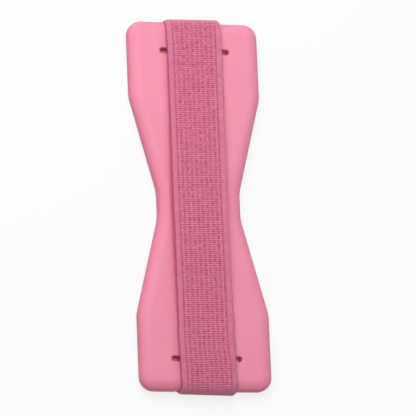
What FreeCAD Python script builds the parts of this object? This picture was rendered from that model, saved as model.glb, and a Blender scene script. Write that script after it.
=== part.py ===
"""A strap grip for a tablet: an hourglass plate that sticks to the tablet's back, with an elastic strap.

The part lies on its adhesive pad: X is its width, Y its length and +Z points out of its front.
The origin is on the pad's underside, in the middle. All lengths are in millimetres.
"""
import FreeCAD, Part
import math
import os

# Plate outline
plate_length = 138.0
end_width = 49.6
waist_width = 31.3
end_length = 28.4
waist_length = 10.0
corner_radius = 5.3
shoulder_radius = 12.0
waist_radius = 18.0

# Plate section: the front rim slopes, and is rounded into the front and into the side
plate_thickness = 5.0
rim_width = 3.0
rim_drop = 1.7
rim_front_round = 5.0
rim_side_round = 2.2
back_round = 0.4
bar_round = 0.4

# Cross slots
slot_end_distance = 11.4
slot_side_room = 2.4
slot_wall_room = 0.45
slot_corner_radius = 0.8
slot_rim_round = 0.5

# Elastic strap
strap_width = 21.6
strap_front_width = 20.0
strap_thickness = 1.1
strap_room = 0.1
wrap_bend = 3.2
rebate_side_room = 0.7
tail_length = 20.0
flare_length = 9.0
flare_radius = 20.0

# Weave on the strap's front
rib_pitch = 0.8
rib_land = 0.22
rib_depth = 0.22
selvage_width = 2.2
groove_width = 0.35
groove_depth = 0.16

# Adhesive pad
pad_thickness = 1.0
pad_inset = 1.6

# How far a cutting tool reaches past the face that it cuts, and how far off an edge may lie from its place
overcut = 1.0
edge_slack = 0.01

# Places worked out from the sizes above
half_length = plate_length / 2
plate_back = pad_thickness
plate_front = plate_back + plate_thickness
bar_back = plate_back + strap_thickness + 2 * strap_room
wrap_round = min(wrap_bend, plate_front - bar_back - bar_round)
slot_center = half_length - slot_end_distance
slot_gap = strap_thickness + 2 * slot_wall_room
slot_inner = slot_center - slot_gap / 2
slot_outer = slot_center + slot_gap / 2
half_slot = strap_width / 2 + slot_side_room
strap_bend = slot_rim_round + slot_wall_room
leg_inner = slot_center - strap_thickness / 2
leg_outer = slot_center + strap_thickness / 2
run_back = plate_front + strap_thickness
run_front = run_back + strap_thickness
rib_half_width = strap_front_width / 2 - selvage_width
rib_reach = half_length - wrap_round

# The strap's run leaves the leg in the slot and comes down on the plate's rounded end
wrap_radius = wrap_round + strap_room
leave_distance = half_length - wrap_round - leg_outer
leave_drop = run_back - plate_front + wrap_round
leave_reach = math.hypot(leave_distance, leave_drop)
run_slope = math.asin(wrap_radius / leave_reach) - math.atan2(leave_drop, leave_distance)


def in_plan(height):
    """A rule that places flat points (x, y) at one height."""
    return lambda point: FreeCAD.Vector(point.x, point.y, height)


def in_section(side):
    """A rule that places flat points (y, z) in the lengthwise section at one x."""
    return lambda point: FreeCAD.Vector(side, point.x, point.y)


def rounded_wire(points, radii, place):
    """A closed wire through corner points, each corner an arc tangent to its two sides."""
    corners = [FreeCAD.Vector(first, second, 0) for first, second in points]
    turns = []
    for index, corner in enumerate(corners):
        back = (corners[index - 1] - corner).normalize()
        ahead = (corners[(index + 1) % len(corners)] - corner).normalize()
        half_angle = back.getAngle(ahead) / 2
        reach = radii[index] / math.tan(half_angle)
        depth = radii[index] / math.sin(half_angle) - radii[index]
        bisector = (back + ahead).normalize()
        turns.append((corner + back * reach, corner + bisector * depth, corner + ahead * reach))
    edges = []
    for index, (start, middle, finish) in enumerate(turns):
        if radii[index] > 0:
            edges.append(Part.Arc(place(start), place(middle), place(finish)).toShape())
        following = turns[(index + 1) % len(turns)][0]
        if finish.distanceToPoint(following) > Part.Precision.confusion():
            edges.append(Part.LineSegment(place(finish), place(following)).toShape())
    return Part.Wire(edges)


def slab(points, radii, height, thickness):
    """A flat piece with a rounded outline, from one height up."""
    wire = rounded_wire(points, radii, in_plan(height))
    return Part.Face(wire).extrude(FreeCAD.Vector(0, 0, thickness))


def bar(points, radii, width, center=0.0):
    """A lengthwise section with rounded corners, as wide as asked across X."""
    wire = rounded_wire(points, radii, in_section(center - width / 2))
    return Part.Face(wire).extrude(FreeCAD.Vector(width, 0, 0))


def both_ends(shape):
    """A shape at the +Y end and its mirror image at the other end."""
    return [shape, shape.mirror(FreeCAD.Vector(0, 0, 0), FreeCAD.Vector(0, 1, 0))]


def edges_at(shape, height, nearest=0.0, farthest=half_length):
    """The edges that lie at one height, from the nearest to the farthest distance along Y."""
    found = []
    for edge in shape.Edges:
        box = edge.BoundBox
        level = max(abs(box.ZMin - height), abs(box.ZMax - height)) < edge_slack
        near = min(abs(box.YMin), abs(box.YMax)) > nearest - edge_slack
        far = max(abs(box.YMin), abs(box.YMax)) < farthest + edge_slack
        if level and near and far:
            found.append(edge)
    return found


def hourglass(inset, half_reach, height, thickness):
    """An hourglass slab: two straight ends, two tapers each side and a short straight waist."""
    end = end_width / 2 - inset
    waist = waist_width / 2 - inset
    side = [(end, half_reach), (end, half_length - end_length), (waist, waist_length / 2)]
    right = side + [(x, -y) for x, y in reversed(side)]
    points = right + [(-x, -y) for x, y in right]
    radii = [corner_radius, shoulder_radius, waist_radius]
    return slab(points, (radii + radii[::-1]) * 2, height, thickness)


def make_base_plate():
    """The moulded plate: rounded rims, a rimmed slot near each end and a rebate behind each end bar."""
    plate = hourglass(0, half_length, plate_back, plate_thickness)
    plate = plate.makeChamfer(rim_drop, rim_width, edges_at(plate, plate_front))
    plate = plate.makeFillet(rim_front_round, edges_at(plate, plate_front))
    plate = plate.makeFillet(rim_side_round, edges_at(plate, plate_front - rim_drop))
    plate = plate.makeFillet(back_round, edges_at(plate, plate_back))

    slot_points = [
        (half_slot, slot_inner),
        (half_slot, slot_outer),
        (-half_slot, slot_outer),
        (-half_slot, slot_inner),
    ]
    slot_radii = [slot_corner_radius] * len(slot_points)
    slot_tool = slab(slot_points, slot_radii, plate_back - overcut, plate_thickness + 2 * overcut)
    plate = plate.cut(both_ends(slot_tool))
    plate = plate.makeFillet(slot_rim_round, edges_at(plate, plate_front, slot_inner, slot_outer))

    rebate = [
        ((slot_center, plate_back - overcut), 0),
        ((slot_center, bar_back + slot_rim_round), 0),
        ((slot_outer, bar_back + slot_rim_round), 0),
        ((slot_outer, bar_back), slot_rim_round),
        ((half_length, bar_back), bar_round),
        ((half_length, bar_back + bar_round), 0),
        ((half_length + overcut, bar_back + bar_round), 0),
        ((half_length + overcut, plate_back - overcut), 0),
    ]
    rebate_tool = bar(*zip(*rebate), strap_width + 2 * rebate_side_room)
    return plate.cut(both_ends(rebate_tool))


def front_height(distance):
    """The height of the strap's front at a distance from the middle: level, then falling to the end."""
    return run_front + max(distance - leg_outer, 0) * math.tan(run_slope)


def make_strap_loop():
    """Half of the strap, with its front run, the wrap round the end, the leg in the slot and the tail."""
    wrap_inner = half_length + strap_room
    wrap_outer = wrap_inner + strap_thickness
    loop_back = bar_back - strap_room
    tail_end = leg_inner - strap_bend - tail_length
    outside = [
        ((0, run_front), 0),
        ((leg_outer, run_front), 0),
        ((wrap_outer, front_height(wrap_outer)), wrap_radius + strap_thickness),
        ((wrap_outer, loop_back - strap_thickness), bar_round + strap_room + strap_thickness),
        ((leg_inner, loop_back - strap_thickness), strap_bend + strap_thickness),
        ((leg_inner, plate_front), strap_bend),
        ((tail_end, plate_front), 0),
        ((tail_end, run_back), 0),
        ((0, run_back), 0),
    ]
    inside = [
        ((leg_outer, run_back), 0),
        ((wrap_inner, front_height(wrap_inner) - strap_thickness), wrap_radius),
        ((wrap_inner, loop_back), bar_round + strap_room),
        ((leg_outer, loop_back), strap_bend),
    ]
    loop = bar(*zip(*outside), strap_width)
    hole = bar(*zip(*inside), strap_width + 2 * overcut)
    return loop.cut(hole)


def make_neck():
    """The strap's outline from the front: narrow along the run, wider where it wraps round each end."""
    narrow = strap_front_width / 2
    wide = strap_width / 2
    reach = half_length + strap_room + strap_thickness + overcut
    side = [(wide, reach), (wide, half_length), (narrow, half_length - flare_length)]
    right = side + [(x, -y) for x, y in reversed(side)]
    points = right + [(-x, -y) for x, y in right]
    radii = [0, flare_radius, flare_radius]
    return slab(points, (radii + radii[::-1]) * 2, 0, run_front + overcut)


def make_rib_valleys():
    """The V valleys between the cross ribs, square to the strap's front."""
    valleys = []
    count = math.floor(rib_reach / rib_pitch)
    for number in range(-count, count + 1):
        place = number * rib_pitch
        tilt = run_slope * math.copysign(1, place) if abs(place) > leg_outer else 0
        along = FreeCAD.Vector(math.cos(tilt), math.sin(tilt), 0) * ((rib_pitch - rib_land) / 2)
        out = FreeCAD.Vector(-math.sin(tilt), math.cos(tilt), 0)
        floor = FreeCAD.Vector(place, front_height(abs(place)), 0)
        corners = [
            floor - out * rib_depth,
            floor + along,
            floor + along + out * overcut,
            floor - along + out * overcut,
            floor - along,
        ]
        points = [(corner.x, corner.y) for corner in corners]
        valleys.append(bar(points, [0] * len(points), 2 * rib_half_width))
    return valleys


def make_selvage_grooves():
    """The two grooves along the strap that part the ribs from the plain selvages."""
    side = [(leg_outer, run_front - groove_depth), (rib_reach, front_height(rib_reach) - groove_depth)]
    right = side + [(rib_reach, run_front + overcut)]
    points = right + [(-y, z) for y, z in reversed(right)]
    centers = (-rib_half_width, rib_half_width)
    return [bar(points, [0] * len(points), groove_width, center) for center in centers]


def make_elastic_strap():
    """The strap: one woven length, with cross ribs on its front between two plain selvages."""
    near, far = both_ends(make_strap_loop())
    strap = near.fuse(far).removeSplitter().common(make_neck())
    return strap.cut(make_rib_valleys()).cut(make_selvage_grooves())


def make_adhesive_pad():
    """The pad all over the plate's back, which also closes the slots and covers the strap's loops."""
    return hourglass(pad_inset, half_length - pad_inset, 0, pad_thickness)


os.makedirs("parts", exist_ok=True)
make_base_plate().exportStep("parts/base_plate.step")
make_elastic_strap().exportStep("parts/elastic_strap.step")
make_adhesive_pad().exportStep("parts/adhesive_pad.step")
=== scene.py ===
"""The looks of a strap grip for a tablet: woven elastic strap, foam pad, moulded plate, studio and camera.

All lengths are in metres, in the frame of the solids: X is the width, Y the length, and +Z points out of
the front. The head is the end at +Y, and the foot is the end at -Y.
"""

import bmesh
import bpy
import math
import numpy as np
from mathutils import Matrix, Vector


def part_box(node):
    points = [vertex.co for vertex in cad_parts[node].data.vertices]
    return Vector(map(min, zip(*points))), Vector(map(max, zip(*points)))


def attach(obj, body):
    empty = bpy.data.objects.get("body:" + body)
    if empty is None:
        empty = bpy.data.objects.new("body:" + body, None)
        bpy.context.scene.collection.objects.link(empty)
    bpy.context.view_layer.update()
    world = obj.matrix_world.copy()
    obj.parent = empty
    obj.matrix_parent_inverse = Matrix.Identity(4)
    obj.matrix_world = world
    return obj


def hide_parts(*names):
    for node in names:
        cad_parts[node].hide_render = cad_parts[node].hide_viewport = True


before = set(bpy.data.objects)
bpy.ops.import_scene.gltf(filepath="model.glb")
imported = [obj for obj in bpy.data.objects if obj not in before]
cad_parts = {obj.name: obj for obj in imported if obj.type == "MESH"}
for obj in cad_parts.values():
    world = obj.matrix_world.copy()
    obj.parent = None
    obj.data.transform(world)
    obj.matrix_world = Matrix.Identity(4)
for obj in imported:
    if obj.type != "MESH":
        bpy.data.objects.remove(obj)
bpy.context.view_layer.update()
plate_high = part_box("base_plate")[1]
strap_low, strap_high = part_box("elastic_strap")
pad_low, pad_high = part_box("adhesive_pad")

MM = 0.001
seed = 7

# Strap: its section, and the route that it takes
strap_thickness = 1.1 * MM
strap_front_half_width = 10.0 * MM
strap_edge_round = 0.42 * MM
slot_end_distance = 11.4 * MM
tail_end_place = 36.0 * MM
wrap_top_radius = 3.85 * MM
wrap_bottom_radius = 1.05 * MM
slot_bend_radius = 1.6 * MM
slope_start_radius = 9.0 * MM
run_slope = math.radians(7.25)
route_softening = 0.35 * MM
softening_spreads = 3
bow_height = 1.5 * MM

# Strap: where its left and right edges lie on the front run, the wraps, the loops, the legs and the tails
flare_length = 20.0 * MM
loop_place = 74.5 * MM
middle_edges = (-11.5 * MM, 9.05 * MM)
run_edges = (-11.1 * MM, 9.75 * MM)
head_wrap_edges = (-11.0 * MM, 10.2 * MM)
foot_wrap_edges = (-10.3 * MM, 11.1 * MM)
loop_edges = (-11.35 * MM, 11.35 * MM)
head_leg_edges = (-9.6 * MM, 10.4 * MM)
foot_leg_edges = (-9.6 * MM, 11.3 * MM)
head_tail_edges = (-9.8 * MM, 10.2 * MM)
foot_tail_edges = (-9.8 * MM, 10.9 * MM)
tail_end_edges = (-9.8 * MM, 10.3 * MM)

# Strap: the ribs of the weave, with heights from 0 in the deepest gap to 1 on the highest crossing
rib_pitch = 0.8 * MM
weave_reach = 79.0 * MM
weave_depth = 0.2 * MM
weave_middle = 0.375
valley_share = 0.29
crown_share = 0.41
row_skew = 0.024
row_wander = 0.22
ribs_per_knot = 5.0
rib_calming = 0.0033

# Strap: the warp lines of the weave, and the cells in which each valley and crown has its own depth
warp_columns = 9
warp_line_width = 0.16
warp_line_rise = 0.33
outer_line_rise = 0.45
line_cover = 0.2
line_calming = 0.0033
cells_per_column = 5
cell_chance = 0.95
row_chance = 0.2
valley_limits = (-0.5, 2.3)
crown_limits = (-0.5, 2.5)

# Strap: the selvages beside the weave, the beaded grooves between them, and the tones of the sides and back:
# the dark left side is painted shade, and the lighter right side is painted light
selvage_width = 2.2 * MM
selvage_height = 0.67
selvage_ripple = 0.02
selvage_knot = 1.2 * MM
left_edge_wander = 0.07 * MM
right_edge_wander = 0.13 * MM
left_selvage_chance = 0.045
right_selvage_chance = 0.06
groove_half_width = 0.22 * MM
groove_height = 0.15
groove_strength = 0.68
groove_beading = 0.24
left_side_shade_height = 0.1
right_side_light_height = 0.72
back_height = 0.62

# Strap: round the ends it is smoother and painted lighter, a painted highlight, thins towards its edges and
# stands off more at its right
smooth_places = [66.8 * MM, 70.0 * MM]
smooth_amount = 0.6
smooth_and_highlight_height = 0.85
corner_places = [65.0 * MM, 70.0 * MM, 74.0 * MM, 78.0 * MM]
corner_round = 1.5 * MM
corner_thinning = 0.75
stand_off = 0.018

# Strap: how finely its mesh follows the route, the weave and the section
route_step = 0.04 * MM
samples_per_rib = 4
samples_per_column = 6
tail_samples = 60
selvage_samples = 6
back_samples = 8
edge_samples = 7

# Pad: its outline, and how finely its mesh follows it
pad_end_half_width = pad_high.x
pad_waist_half_width = 14.05 * MM
pad_waist_half_length = 5.0 * MM
pad_end_straight = 40.6 * MM
pad_corner_radius = 5.3 * MM
pad_edge_round = 0.25 * MM
pad_middle_samples = 121
pad_corner_samples = 13
pad_edge_samples = 5

# Pad: the foam that bulges into the free ends of the slots: left, right, end of the grip, height
foam_bulges = [
    (-13.0 * MM, -9.65 * MM, 1, 1.95 * MM),
    (10.7 * MM, 13.0 * MM, 1, 1.7 * MM),
    (-13.0 * MM, -9.65 * MM, -1, 2.2 * MM),
    (11.6 * MM, 13.0 * MM, -1, 2.2 * MM),
]
bulge_half_length = 0.97 * MM
bulge_squareness = 6
bulge_edge_fall = 0.15

# Pad: the mesh of a bulge, with rings by their share of the way from its middle to its outline
bulge_sides = 32
bulge_top_rings = np.linspace(0.05, 0.9, 8)
bulge_rim_rings = [0.95, 0.98, 1.0]
bulge_foot_ring = [1.0]

# Finishes: screen colours are red, green and blue from 0 to 255, and scales are in cells to the metre
grain_detail = 2.0
mottle_detail = 4.0
mottle_range = (0.3, 0.7)
moulded_bump_strength = 0.5
plate_colours = [(249, 153, 180), (252, 157, 183)]
plate_grain_scale = 3000.0
plate_mottle_scale = 60.0
plate_roughness = (0.5, 0.65)
plate_bump_height = 0.02 * MM
plate_specular = 0.35
plate_subsurface = 0.6
plate_subsurface_radius = (1.0, 0.3, 0.4)
plate_subsurface_scale = 2.5 * MM
pad_colours = [(246, 168, 192), (252, 176, 200)]
pad_grain_scale = 2500.0
pad_mottle_scale = 300.0
pad_roughness = (0.8, 0.95)
pad_bump_height = 0.1 * MM
# The strap's colour follows the height: darker in the deep gaps and grooves, partly its own tone and partly
# painted shade, and lighter on the high crossings
strap_heights = (0.0, 0.5, 1.0)
strap_colours = [(179, 48, 88), (209, 107, 141), (234, 139, 167)]
strap_streaks = (0.85, 1.15)
strap_grain_scale = 6000.0
strap_roughness = (0.75, 0.95)
strap_bump_height = 0.05 * MM
strap_bump_strength = 0.6
strap_sheen = 0.35

# Plate: painted shade, as deeper pink on the turned rims, a soft painted shadow beside the strap, and a line
# of painted shadow along the strap's left edge
rim_shade_tint = (0.985, 0.875, 0.915, 1.0)
rim_shade_facings = (1.0, 0.72)
shade_tint = (0.93, 0.9, 0.92, 1.0)
shade_center = -0.7 * MM
shade_drift = 0.0
shade_half_width = 10.4 * MM
shade_fade = 3.2 * MM
shadow_line_tint = (1.0, 0.76, 0.84, 1.0)
shadow_line_center = -6.5 * MM
shadow_line_drift = 0.034
shadow_line_half_width = 5.0 * MM
shadow_line_fade = 1.1 * MM

# Studio: the floor, the white surround and two lamps, with pairs for other rays and for the camera's own
floor_half_side = 3.0
floor_points = 3
floor_drop = 0.02 * MM
floor_roughness = 0.9
floor_tones = (0.5, 0.95)
floor_glow = 0.8
surround_strengths = (0.35, 1.0)
surround_colour = (1, 1, 1, 1)
key_place = (-0.17, 0.36, 0.5)
key_target = (0, 0.02, 0)
key_size = 0.45
key_power = 1.78
overhead_place = (-0.1, 0.14, 0.42)
overhead_target = (0, 0, 0)
overhead_size = 0.4
overhead_power = 0.79

# Camera: lens and sensor are in millimetres
camera_lens = 345.65
camera_sensor = 36.0
camera_near = 0.01
camera_far = 100.0
camera_distance = 1464.0 * MM
camera_lean_foot = math.radians(12.61)
camera_lean_left = math.radians(16.73)
camera_roll = math.radians(2.38)
camera_right = 4.24 * MM
camera_up = -0.21 * MM

# Places and shares worked out from the sizes above
slot_place = plate_high.y - slot_end_distance
flat_half_width = strap_front_half_width - strap_edge_round
woven_share = (strap_front_half_width - selvage_width) / flat_half_width
groove_share = groove_half_width / flat_half_width


def link(piece_name, mesh):
    """An object at the origin that holds a mesh."""
    piece = bpy.data.objects.new(piece_name, mesh)
    bpy.context.scene.collection.objects.link(piece)
    return piece


def tube_mesh(name, rings):
    """A closed skin over rings of points, each ring joined to the next and the first and last one capped.

    The rings are an array of (ring, point, xyz). Point order turns the faces outwards.
    """
    ring_count, point_count = rings.shape[:2]
    index = np.arange(ring_count * point_count).reshape(ring_count, point_count)
    turned = np.roll(index, -1, axis=1)
    quads = np.stack([index[:-1], turned[:-1], turned[1:], index[1:]], axis=-1).reshape(-1, 4)
    faces = quads.tolist() + [index[0, ::-1].tolist(), index[-1].tolist()]
    mesh = bpy.data.meshes.new(name)
    mesh.from_pydata(rings.reshape(-1, 3), [], faces)
    mesh.polygons.foreach_set("use_smooth", np.ones(len(mesh.polygons), dtype=bool))
    mesh.update()
    return mesh


def read_along(pairs, travel, stations):
    """Pairs of values that are known along a travel, read at stations on straight lines between them."""
    return np.stack([np.interp(stations, travel, pairs[:, axis]) for axis in (0, 1)], axis=1)


def rounded_route(corners, radii, step):
    """Points a step apart along straight runs joined by arcs: each arc is tangent to its two runs."""
    corners = np.array(corners)
    runs = np.diff(corners, axis=0)
    heads = runs / np.linalg.norm(runs, axis=1, keepdims=True)
    pieces = [corners[:1]]
    for corner, radius, coming, going in zip(corners[1:-1], radii, heads[:-1], heads[1:]):
        bend = math.atan2(coming[0] * going[1] - coming[1] * going[0], coming @ going)
        reach = radius * math.tan(abs(bend) / 2)
        aside = np.array([-coming[1], coming[0]]) * math.copysign(1, bend)
        center = corner - coming * reach + aside * radius
        turn = np.linspace(0, abs(bend), 2 + int(radius * abs(bend) / step))[:, None]
        pieces.append(center + radius * (coming * np.sin(turn) - aside * np.cos(turn)))
    pieces.append(corners[-1:])
    rough = np.concatenate(pieces)
    travel = np.concatenate([[0], np.cumsum(np.linalg.norm(np.diff(rough, axis=0), axis=1))])
    return read_along(rough, travel, np.arange(0, travel[-1], step))


def softened(points, step, spread):
    """Points averaged with their neighbours by a bell curve, so that bends start and end gently."""
    reach = int(softening_spreads * spread / step)
    weights = np.exp(-0.5 * (np.arange(-reach, reach + 1) * step / spread) ** 2)
    weights /= weights.sum()
    padded = np.pad(points, ((reach, reach), (0, 0)), mode="reflect", reflect_type="odd")
    return np.stack([np.convolve(padded[:, axis], weights, "valid") for axis in (0, 1)], axis=1)


def strap_route():
    """The middle line of the strap's section in (y, z), from the tail at -Y to the tail at +Y.

    Each half runs along the front, slopes to the end, wraps round it, goes back under the end bar, up
    through the slot and in under the front run. The run bows up a little towards its middle, by a cosine.
    """
    half = strap_thickness / 2
    run_height = strap_high.z - half
    wrap_place = strap_high.y - half
    wrap_height = run_height - (wrap_place - slot_place - half) * math.tan(run_slope)
    loop_height = strap_low.z + half
    tail_height = plate_high.z + half
    side = [
        (slot_place + half, run_height),
        (wrap_place, wrap_height),
        (wrap_place, loop_height),
        (slot_place, loop_height),
        (slot_place, tail_height),
        (tail_end_place, tail_height),
    ]
    radii = [slope_start_radius, wrap_top_radius, wrap_bottom_radius, slot_bend_radius, slot_bend_radius]
    corners = [(-y, z) for y, z in reversed(side)] + side
    arcs_and_runs = rounded_route(corners, radii[::-1] + radii, route_step)
    route = softened(arcs_and_runs, route_step, route_softening)
    travel = (np.arange(len(route)) - (len(route) - 1) / 2) * route_step
    share = np.clip(travel / slot_place, -1, 1)
    route[:, 1] += bow_height * (1 + np.cos(math.pi * share)) / 2
    return route


def eased(distance, places, values):
    """Values that change from one to the next between places, by cubics that start and end level."""
    result = values[0] + 0 * distance
    for place, following, value, target in zip(places, places[1:], values, values[1:]):
        share = np.clip((distance - place) / (following - place), 0, 1)
        result = result + (target - value) * share * share * (3 - 2 * share)
    return result


def wandering(distance, spacing, spread, rng):
    """Values that wander along a distance: chance values at an even spacing, joined by straight lines."""
    knots = np.arange(distance.min(), distance.max() + 2 * spacing, spacing)
    return np.interp(distance, knots, rng.normal(0, spread, len(knots)))


def selvage_wandering(offset, share, left_spread, right_spread, rng):
    """Values that wander along the strap, for each point of it, with left and right each by themselves."""
    left = wandering(offset, selvage_knot, left_spread, rng)
    right = wandering(offset, selvage_knot, right_spread, rng)
    return np.where(share[None, :] > 0, right[:, None], left[:, None])


def strap_offsets(half_length):
    """Distances along the strap from its middle: a few to each rib of the weave, and wider steps beyond."""
    fine = np.arange(-weave_reach, weave_reach, rib_pitch / samples_per_rib)
    wide = np.linspace(weave_reach, half_length, tail_samples)
    return np.concatenate([-wide[::-1], fine[1:], wide])


def strap_edges(offset, half_length):
    """Where the strap's left and right edges lie, eased from place to place along each half of it."""
    tail_start = half_length - (slot_place - tail_end_place)
    leg_place = tail_start - (plate_high.z - strap_low.z) / 2
    wrap_place = plate_high.y
    places = [0, wrap_place - flare_length, wrap_place, loop_place, leg_place, tail_start, half_length]
    head = [head_wrap_edges, loop_edges, head_leg_edges, head_tail_edges]
    foot = [foot_wrap_edges, loop_edges, foot_leg_edges, foot_tail_edges]
    halves = []
    for end in (head, foot):
        pairs = [middle_edges, run_edges, *end, tail_end_edges]
        halves.append([eased(np.abs(offset), places, values) for values in zip(*pairs)])
    return np.where(offset > 0, *halves)


def strap_section():
    """One section of the strap, as points along the front, round an edge, along the back and round an edge.

    Each point has its share of the flat half width, from -1 to 1, how far it stands out into a rounded
    edge, and its level, from 1 on the front to -1 on the back. Each edge is half a circle.
    """
    columns = np.linspace(-woven_share, woven_share, warp_columns * samples_per_column + 1)
    plain = np.linspace(-1, -woven_share - 2 * groove_share, selvage_samples)
    selvage = np.concatenate([plain, [-woven_share - groove_share]])
    front = np.concatenate([selvage, columns, -selvage[::-1]])
    back = np.linspace(1, -1, back_samples)
    turn = np.linspace(math.pi / 2, -math.pi / 2, edge_samples)[1:-1]
    share = np.concatenate([front, np.ones_like(turn), back, -np.ones_like(turn)])
    aside = np.concatenate([0 * front, np.cos(turn), 0 * back, -np.cos(turn)])
    level = np.concatenate([0 * front + 1, np.sin(turn), 0 * back - 1, -np.sin(turn)])
    return share, aside, level


def weave_height(ribs, columns):
    """The height of the woven front at rib and column numbers, about 0 in deep gaps to 1 on high crossings.

    It is a cosine wave along the ribs, and on it stands a narrow warp line along the middle of each column,
    a bell curve across. The ribs wander a little along the strap. Each valley and each crown has its own
    depth in each part of a column, partly shared by its whole row. The weave is flatter towards the head.
    """
    rng = np.random.default_rng(seed)
    knot_place = (ribs - ribs.min()) / ribs_per_knot
    knot_number = np.floor(knot_place).astype(int)
    wander = rng.normal(0, row_wander, knot_number.max() + 2)
    share = knot_place - knot_number
    depth = 1 - rib_calming * ribs
    line_depth = 1 - line_calming * np.clip(ribs, 0, None)
    ribs = ribs + wander[knot_number] * (1 - share) + wander[knot_number + 1] * share

    cell_count = warp_columns * cells_per_column
    cell_number = np.clip(np.floor(columns * cells_per_column).astype(int), 0, cell_count - 1)
    valley_number = np.round(ribs).astype(int)
    crown_number = np.floor(ribs).astype(int)
    first = crown_number.min()
    count = crown_number.max() - first + 2
    valley_chance = rng.normal(0, cell_chance, (count, cell_count)) + rng.normal(0, row_chance, (count, 1))
    crown_chance = rng.normal(0, cell_chance, (count, cell_count)) + rng.normal(0, row_chance, (count, 1))
    valley_depth = np.clip(depth + valley_chance[valley_number - first, cell_number], *valley_limits)
    crown_rise = np.clip(depth + crown_chance[crown_number - first, cell_number], *crown_limits)

    wave = -np.cos(2 * math.pi * ribs)
    weft = wave * np.where(wave < 0, valley_share * valley_depth, crown_share * crown_rise)
    line = np.exp(-(((columns - np.floor(columns) - 0.5) / warp_line_width) ** 2))
    outer = (columns < 1) | (columns > warp_columns - 1)
    rise = np.where(outer, outer_line_rise, warp_line_rise) * line_depth
    return weave_middle + weft * (1 - line_cover * line) + rise * line


def front_height(offset, across, share, rng):
    """The height of the strap's front: the weave, a selvage at each side and the grooves between them.

    A selvage is nearly level: it ripples with the ribs by a cosine, and its height wanders. A groove is a
    bell curve across, deeper once in each rib like a row of beads. Round the ends all heights draw together
    towards a high one, which smooths the weave and paints a highlight there.
    """
    ribs = (offset[:, None] - row_skew * across) / rib_pitch
    columns = np.clip((share / woven_share + 1) / 2 * warp_columns, 0, warp_columns)
    weave = weave_height(ribs, columns[None, :] + 0 * ribs)
    wave = np.cos(2 * math.pi * ribs)
    tone = selvage_wandering(offset, share, left_selvage_chance, right_selvage_chance, rng)
    selvage = selvage_height - selvage_ripple * wave + tone
    height = np.where(np.abs(share)[None, :] <= woven_share, weave, selvage)
    groove = np.exp(-(((np.abs(share) - woven_share) / groove_share) ** 2))
    bead = groove_strength + groove_beading * wave
    height = height + (groove_height - height) * groove[None, :] * bead
    # Round the ends the weave is smoothed and painted lighter, a painted highlight
    smooth = eased(np.abs(offset), smooth_places, [0.0, smooth_amount])
    return height + (smooth_and_highlight_height - height) * smooth[:, None]


def wrapped_lift(lift, offset, share, from_left):
    """How far points lie off the route, with the strap as it lies where it wraps round the ends.

    There its thickness falls towards each edge by a quarter circle, which rounds its corners, and it stands
    off further in step with the distance from its left edge.
    """
    toward_edge = np.clip((np.abs(share) - 1) * flat_half_width / corner_round + 1, 0, 1)
    corner = 1 - np.sqrt(1 - toward_edge**2)
    wrapped = eased(np.abs(offset), corner_places, [0.0, 1.0, 1.0, 0.0])[:, None]
    thinned = 1 - corner_thinning * wrapped * corner[None, :]
    lift = (lift + strap_thickness / 2) * thinned - strap_thickness / 2
    return lift + stand_off * wrapped * from_left


def make_strap():
    """The strap: a flat section with rounded edges, carried along the strap's route.

    Across, a point lies between the strap's two edges by its share, and the selvages wander a little. It
    lies off the route by its level times half the thickness, less the depth of the weave on the front.
    """
    route = strap_route()
    travel = np.arange(len(route)) * route_step
    length = travel[-1]
    offset = strap_offsets(length / 2)
    stations = offset + length / 2
    place = read_along(route, travel, stations)
    heading = read_along(np.gradient(route, route_step, axis=0), travel, stations)
    heading /= np.linalg.norm(heading, axis=1, keepdims=True)
    outward = np.stack([-heading[:, 1], heading[:, 0]], axis=1)

    rng = np.random.default_rng(seed + 1)
    share, aside, level = strap_section()
    left, right = strap_edges(offset, length / 2)
    flat_half = (right - left) / 2 - strap_edge_round
    across = share[None, :] * flat_half[:, None] + aside[None, :] * strap_edge_round
    across = across + ((right + left) / 2)[:, None]
    on_selvage = np.clip((np.abs(share) - woven_share) / (1 - woven_share), 0, 1)
    wander = selvage_wandering(offset, share, left_edge_wander, right_edge_wander, rng)
    across = across + wander * on_selvage[None, :]

    on_front = level[None, :] == 1
    # The sides and back take set tones: the dark left side is painted shade and the lighter right side is
    # painted light
    side_height = np.select([aside > 0, aside < 0], [right_side_light_height, left_side_shade_height], back_height)
    height = np.where(on_front, front_height(offset, across, share, rng), side_height[None, :])
    height = np.clip(height, 0, 1)
    lift = level[None, :] * strap_thickness / 2 - np.where(on_front, 1 - height, 0) * weave_depth
    lift = wrapped_lift(lift, offset, share, across - left[:, None])
    along = place[:, None, 0] + outward[:, None, 0] * lift
    up = place[:, None, 1] + outward[:, None, 1] * lift
    mesh = tube_mesh("strap_weave", np.stack([across, along, up], axis=-1))

    shade = mesh.attributes.new("weave_height", "FLOAT", "POINT")
    shade.data.foreach_set("value", height.ravel())
    cloth = np.stack([across, stations[:, None] + 0 * across, 0 * across], axis=-1)
    spot = mesh.attributes.new("weave_place", "FLOAT_VECTOR", "POINT")
    spot.data.foreach_set("vector", cloth.ravel())
    return link("strap_weave", mesh), length


def pad_half_width(place):
    """Half the pad's width at a place along Y: a waist, a taper, a straight end and round corners."""
    distance = np.abs(place)
    taper = (distance - pad_waist_half_length) / (pad_end_straight - pad_waist_half_length)
    width = pad_waist_half_width + np.clip(taper, 0, 1) * (pad_end_half_width - pad_waist_half_width)
    beyond = np.clip(distance - (pad_high.y - pad_corner_radius), 0, pad_corner_radius)
    return width - pad_corner_radius + np.sqrt(pad_corner_radius**2 - beyond**2)


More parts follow.
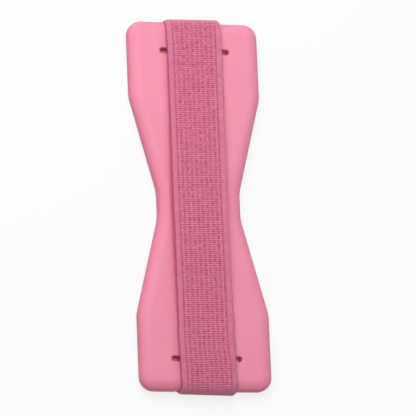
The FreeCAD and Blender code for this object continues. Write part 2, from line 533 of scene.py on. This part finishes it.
def pad_mesh():
    """The pad's sheet: a flat section with rounded edges, as wide as the hourglass at each place along Y."""
    turn = np.linspace(0, math.pi / 2, pad_corner_samples)
    end = pad_high.y - pad_corner_radius + pad_corner_radius * np.sin(turn)
    middle = np.linspace(-end[0], end[0], pad_middle_samples)
    place = np.concatenate([-end[::-1], middle[1:-1], end])
    corner = np.linspace(0, math.pi / 2, pad_edge_samples)
    round_x = np.concatenate([np.sin(corner), np.cos(corner)])
    round_z = np.concatenate([np.cos(corner), -np.sin(corner)])
    side = np.concatenate([round_x, -round_x])
    level = np.concatenate([round_z, -round_z])
    sign = np.repeat([1.0, -1.0], len(round_x))
    half_height = (pad_high.z - pad_low.z) / 2
    inner = (pad_half_width(place) - pad_edge_round)[:, None] * sign[None, :]
    across = inner + side[None, :] * pad_edge_round
    along = place[:, None] + 0 * across
    up = half_height + np.sign(level) * (half_height - pad_edge_round) + level * pad_edge_round
    return tube_mesh("foam_pad", np.stack([across, along, up[None, :] + 0 * across], axis=-1))


def bulge_mesh(left, right, end_sign, height):
    """One bulge of foam in a slot: a dome with square-ish sides, sunk half way into the pad.

    Its outline is a superellipse, and its height falls a little, as a high power of the way to the outline.
    """
    turn = np.linspace(0, 2 * math.pi, bulge_sides, endpoint=False)
    power = 2 / bulge_squareness
    side_x = np.sign(np.cos(turn)) * np.abs(np.cos(turn)) ** power
    side_y = np.sign(np.sin(turn)) * np.abs(np.sin(turn)) ** power
    share = np.concatenate([bulge_top_rings, bulge_rim_rings, bulge_foot_ring])
    up = pad_high.z + height * (1 - bulge_edge_fall * share**bulge_squareness)
    up[-1] = (pad_low.z + pad_high.z) / 2
    across = (left + right) / 2 + (right - left) / 2 * share[:, None] * side_x[None, :]
    along = end_sign * slot_place + bulge_half_length * share[:, None] * side_y[None, :]
    return tube_mesh("foam_bulge", np.stack([across, along, up[:, None] + 0 * across], axis=-1))


def make_pad():
    """The foam pad: its sheet, and the bulges of the same foam in the free ends of the slots."""
    mesh = pad_mesh()
    whole = bmesh.new()
    whole.from_mesh(mesh)
    for left, right, end_sign, height in foam_bulges:
        dome = bulge_mesh(left, right, end_sign, height)
        whole.from_mesh(dome)
        bpy.data.meshes.remove(dome)
    whole.to_mesh(mesh)
    whole.free()
    return link("foam_pad", mesh)


def new_material(name):
    """A node material, its node tree and its main shader."""
    material = bpy.data.materials.new(name)
    material.use_nodes = True
    tree = material.node_tree
    return material, tree, tree.nodes["Principled BSDF"]


def linear_colour(red, green, blue):
    """A colour given as a screen shows it, from 0 to 255, made linear by the screen's own curve."""
    screen_top = 255
    toe_end = 0.04045
    toe_slope = 12.92
    curve_offset = 0.055
    curve_power = 2.4
    part = np.array([red, green, blue]) / screen_top
    curve = ((part + curve_offset) / (1 + curve_offset)) ** curve_power
    linear = np.where(part <= toe_end, part / toe_slope, curve)
    return (*linear.tolist(), 1.0)


def ramp_of(tree, value, places, colours):
    """A colour that goes through screen colours as a value goes through places from 0 to 1."""
    node = tree.nodes.new("ShaderNodeValToRGB")
    elements = node.color_ramp.elements
    while len(elements) < len(places):
        elements.new(places[len(elements) - 1])
    for element, place, shown in zip(elements, places, colours):
        element.position = place
        element.color = linear_colour(*shown)
    tree.links.new(value, node.inputs["Fac"])
    return node.outputs["Color"]


def ranged(tree, value, limits):
    """A value from 0 to 1, stretched in step to reach from one limit to the other."""
    node = tree.nodes.new("ShaderNodeMapRange")
    node.inputs["To Min"].default_value = limits[0]
    node.inputs["To Max"].default_value = limits[1]
    tree.links.new(value, node.inputs["Value"])
    return node.outputs["Result"]


def soft_share(tree, value, start, finish):
    """A share that goes smoothly from 0 to 1 as a value goes from start to finish."""
    node = tree.nodes.new("ShaderNodeMapRange")
    node.interpolation_type = "SMOOTHSTEP"
    node.inputs["From Min"].default_value = start
    node.inputs["From Max"].default_value = finish
    tree.links.new(value, node.inputs["Value"])
    return node.outputs["Result"]


def worked_out(tree, operation, *values):
    """The result of a Math node, where each value is a number or another node's output."""
    node = tree.nodes.new("ShaderNodeMath")
    node.operation = operation
    for socket, value in zip(node.inputs, values):
        if isinstance(value, float):
            socket.default_value = value
        else:
            tree.links.new(value, socket)
    return node.outputs["Value"]


def multiply_colour(tree, shader, share, tint):
    """Multiply a shader's colour by a tint, as far as a share from 0 to 1 says."""
    mixed = tree.nodes.new("ShaderNodeMix")
    mixed.data_type = "RGBA"
    mixed.blend_type = "MULTIPLY"
    mixed.inputs["B"].default_value = tint
    tree.links.new(share, mixed.inputs["Factor"])
    tree.links.new(shader.inputs["Base Color"].links[0].from_socket, mixed.inputs["A"])
    tree.links.new(mixed.outputs["Result"], shader.inputs["Base Color"])


def grain_group():
    """A node group: fine grain and broad mottling, two noises of a place, each from 0 to 1."""
    group = bpy.data.node_groups.new("moulded_grain", "ShaderNodeTree")
    group.interface.new_socket("Place", in_out="INPUT", socket_type="NodeSocketVector")
    group.interface.new_socket("Grain Scale", in_out="INPUT", socket_type="NodeSocketFloat")
    group.interface.new_socket("Mottle Scale", in_out="INPUT", socket_type="NodeSocketFloat")
    group.interface.new_socket("Grain", in_out="OUTPUT", socket_type="NodeSocketFloat")
    group.interface.new_socket("Mottle", in_out="OUTPUT", socket_type="NodeSocketFloat")
    inside = group.nodes.new("NodeGroupInput")
    outside = group.nodes.new("NodeGroupOutput")
    for output, detail in (("Grain", grain_detail), ("Mottle", mottle_detail)):
        noise = group.nodes.new("ShaderNodeTexNoise")
        noise.inputs["Detail"].default_value = detail
        group.links.new(inside.outputs["Place"], noise.inputs["Vector"])
        group.links.new(inside.outputs[output + " Scale"], noise.inputs["Scale"])
        group.links.new(noise.outputs["Fac"], outside.inputs[output])
    return group


def grain_at(tree, group, place, grain_scale):
    """The grain group in a material, with the place that it reads and the scale of its fine grain."""
    grain = tree.nodes.new("ShaderNodeGroup")
    grain.node_tree = group
    grain.inputs["Grain Scale"].default_value = grain_scale
    tree.links.new(place, grain.inputs["Place"])
    return grain


def roughen(tree, shader, grain, roughness, bump_height, bump_strength):
    """Roughness between two limits, and bump, both from the fine grain."""
    fine = grain.outputs["Grain"]
    tree.links.new(ranged(tree, fine, roughness), shader.inputs["Roughness"])
    bump = tree.nodes.new("ShaderNodeBump")
    bump.inputs["Distance"].default_value = bump_height
    bump.inputs["Strength"].default_value = bump_strength
    tree.links.new(fine, bump.inputs["Height"])
    tree.links.new(bump.outputs["Normal"], shader.inputs["Normal"])


def moulded_material(name, group, colours, grain_scale, mottle_scale, roughness, bump_height):
    """A matte moulded finish: colour from broad mottling, and roughness and bump from fine grain."""
    material, tree, shader = new_material(name)
    place = tree.nodes.new("ShaderNodeTexCoord")
    grain = grain_at(tree, group, place.outputs["Object"], grain_scale)
    grain.inputs["Mottle Scale"].default_value = mottle_scale
    tone = ramp_of(tree, grain.outputs["Mottle"], mottle_range, colours)
    tree.links.new(tone, shader.inputs["Base Color"])
    roughen(tree, shader, grain, roughness, bump_height, moulded_bump_strength)
    return material, tree, shader


def band_share(tree, place, center, drift, half_width, fade):
    """A share that is 1 on a band along Y and fades to 0 beside it.

    The band's middle moves towards +X by the drift for each step away from the waist.
    """
    from_waist = worked_out(tree, "ABSOLUTE", place.outputs["Y"])
    middle = worked_out(tree, "MULTIPLY_ADD", from_waist, drift, center)
    aside = worked_out(tree, "SUBTRACT", place.outputs["X"], middle)
    distance = worked_out(tree, "ABSOLUTE", aside)
    return soft_share(tree, distance, half_width + fade, half_width)


def deepen_plate(tree, shader):
    """Paint shade on the plate: a soft painted shadow beside the strap, a line of painted shadow along the
    strap's left edge, and deeper pink on its rims by how far they turn from +Z, as painted shade.
    """
    source = tree.nodes.new("ShaderNodeTexCoord")
    facing = tree.nodes.new("ShaderNodeSeparateXYZ")
    tree.links.new(source.outputs["Normal"], facing.inputs["Vector"])
    place = tree.nodes.new("ShaderNodeSeparateXYZ")
    tree.links.new(source.outputs["Object"], place.inputs["Vector"])
    # Painted shadow: a soft deeper pink band beside the strap
    shade = band_share(tree, place, shade_center, shade_drift, shade_half_width, shade_fade)
    multiply_colour(tree, shader, shade, shade_tint)
    # Painted shadow: a deeper pink line along the strap's left edge
    line = band_share(tree, place, shadow_line_center, shadow_line_drift, shadow_line_half_width, shadow_line_fade)
    multiply_colour(tree, shader, line, shadow_line_tint)
    # Painted shade: deeper pink on the rims as they turn from +Z
    turned = soft_share(tree, facing.outputs["Z"], *rim_shade_facings)
    multiply_colour(tree, shader, turned, rim_shade_tint)


def plate_material(group):
    """Smooth matte plastic that lets a little light in, with painted shade: deeper pink on its rims and
    beside the strap.
    """
    finish = (plate_colours, plate_grain_scale, plate_mottle_scale, plate_roughness, plate_bump_height)
    material, tree, shader = moulded_material("plate_plastic", group, *finish)
    deepen_plate(tree, shader)
    shader.inputs["Specular IOR Level"].default_value = plate_specular
    shader.inputs["Subsurface Weight"].default_value = plate_subsurface
    shader.inputs["Subsurface Radius"].default_value = plate_subsurface_radius
    shader.inputs["Subsurface Scale"].default_value = plate_subsurface_scale
    return material


def pad_material(group):
    """Light pink foam with a fine open grain."""
    finish = (pad_colours, pad_grain_scale, pad_mottle_scale, pad_roughness, pad_bump_height)
    return moulded_material("pad_foam", group, *finish)[0]


def strap_material(group):
    """Woven elastic: colour from the weave's height, which carries painted shade in its gaps and on its left
    side and painted light on its right side and round its ends, yarn streaks from fine grain, and a soft
    sheen.
    """
    material, tree, shader = new_material("strap_elastic")
    height = tree.nodes.new("ShaderNodeAttribute")
    height.attribute_name = "weave_height"
    place = tree.nodes.new("ShaderNodeAttribute")
    place.attribute_name = "weave_place"
    grain = grain_at(tree, group, place.outputs["Vector"], strap_grain_scale)
    mixed = tree.nodes.new("ShaderNodeMix")
    mixed.data_type = "RGBA"
    mixed.blend_type = "MULTIPLY"
    mixed.inputs["Factor"].default_value = 1.0
    tone = ramp_of(tree, height.outputs["Fac"], strap_heights, strap_colours)
    tree.links.new(tone, mixed.inputs["A"])
    tree.links.new(ranged(tree, grain.outputs["Grain"], strap_streaks), mixed.inputs["B"])
    tree.links.new(mixed.outputs["Result"], shader.inputs["Base Color"])
    roughen(tree, shader, grain, strap_roughness, strap_bump_height, strap_bump_strength)
    shader.inputs["Sheen Weight"].default_value = strap_sheen
    return material


def floor_material():
    """White that glows for the camera and for reflections, and keeps a faint shadow.

    The floor is mixed with a white glow, as far as those rays see it, and gives other rays a greyer white.
    """
    material, tree, shader = new_material("white_floor")
    shader.inputs["Roughness"].default_value = floor_roughness
    path = tree.nodes.new("ShaderNodeLightPath")
    to_camera = path.outputs["Is Camera Ray"]
    tree.links.new(ranged(tree, to_camera, floor_tones), shader.inputs["Base Color"])
    glow = tree.nodes.new("ShaderNodeEmission")
    mix = tree.nodes.new("ShaderNodeMixShader")
    seen = worked_out(tree, "MAXIMUM", to_camera, path.outputs["Is Glossy Ray"])
    tree.links.new(worked_out(tree, "MULTIPLY", seen, floor_glow), mix.inputs["Fac"])
    tree.links.new(shader.outputs["BSDF"], mix.inputs[1])
    tree.links.new(glow.outputs["Emission"], mix.inputs[2])
    tree.links.new(mix.outputs["Shader"], tree.nodes["Material Output"].inputs["Surface"])
    return material


def white_floor():
    """A wide level floor just under the pad: a square grid of points, joined in quads."""
    side = np.linspace(-floor_half_side, floor_half_side, floor_points)
    across, along = np.meshgrid(side, side, indexing="ij")
    points = np.stack([across, along, 0 * across - floor_drop], axis=-1).reshape(-1, 3)
    index = np.arange(len(points)).reshape(floor_points, floor_points)
    quads = np.stack([index[:-1, :-1], index[1:, :-1], index[1:, 1:], index[:-1, 1:]], axis=-1)
    mesh = bpy.data.meshes.new("floor")
    mesh.from_pydata(points, [], quads.reshape(-1, 4).tolist())
    floor = link("floor", mesh)
    floor.data.materials.append(floor_material())


def white_surround():
    """An even white surround, which lights softly and shows as white to the camera."""
    world = bpy.data.worlds.new("studio")
    bpy.context.scene.world = world
    world.use_nodes = True
    tree = world.node_tree
    back = tree.nodes["Background"]
    back.inputs["Color"].default_value = surround_colour
    path = tree.nodes.new("ShaderNodeLightPath")
    strength = ranged(tree, path.outputs["Is Camera Ray"], surround_strengths)
    tree.links.new(strength, back.inputs["Strength"])


def soft_lamp(name, place, target, size, power):
    """A square lamp that faces a target."""
    data = bpy.data.lights.new(name, "AREA")
    data.size = size
    data.energy = power
    lamp = bpy.data.objects.new(name, data)
    bpy.context.scene.collection.objects.link(lamp)
    lamp.location = place
    lamp.rotation_euler = (Vector(target) - Vector(place)).to_track_quat("-Z", "Y").to_euler()


def photo_camera():
    """The camera: it leans to the foot and to the left, rolls, and then slides to frame the object."""
    data = bpy.data.cameras.new("camera")
    data.lens = camera_lens
    data.sensor_width = camera_sensor
    data.clip_start = camera_near
    data.clip_end = camera_far
    camera = bpy.data.objects.new("camera", data)
    bpy.context.scene.collection.objects.link(camera)
    turn = Matrix.Rotation(-camera_lean_left, 3, "Y") @ Matrix.Rotation(camera_lean_foot, 3, "X")
    turn = turn @ Matrix.Rotation(-camera_roll, 3, "Z")
    camera.location = turn @ Vector((camera_right, camera_up, camera_distance))
    camera.rotation_euler = turn.to_euler()
    bpy.context.scene.camera = camera


# Pieces
moulded_grain = grain_group()

strap, strap_length = make_strap()
strap.data.materials.append(strap_material(moulded_grain))
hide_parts("elastic_strap")
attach(strap, "root")

pad = make_pad()
pad.data.materials.append(pad_material(moulded_grain))
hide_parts("adhesive_pad")
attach(pad, "root")

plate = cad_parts["base_plate"]
plate.data.materials.clear()
plate.data.materials.append(plate_material(moulded_grain))

# Studio
bpy.context.scene.view_settings.view_transform = "Standard"
white_floor()
white_surround()
soft_lamp("key", key_place, key_target, key_size, key_power)
soft_lamp("overhead", overhead_place, overhead_target, overhead_size, overhead_power)
photo_camera()
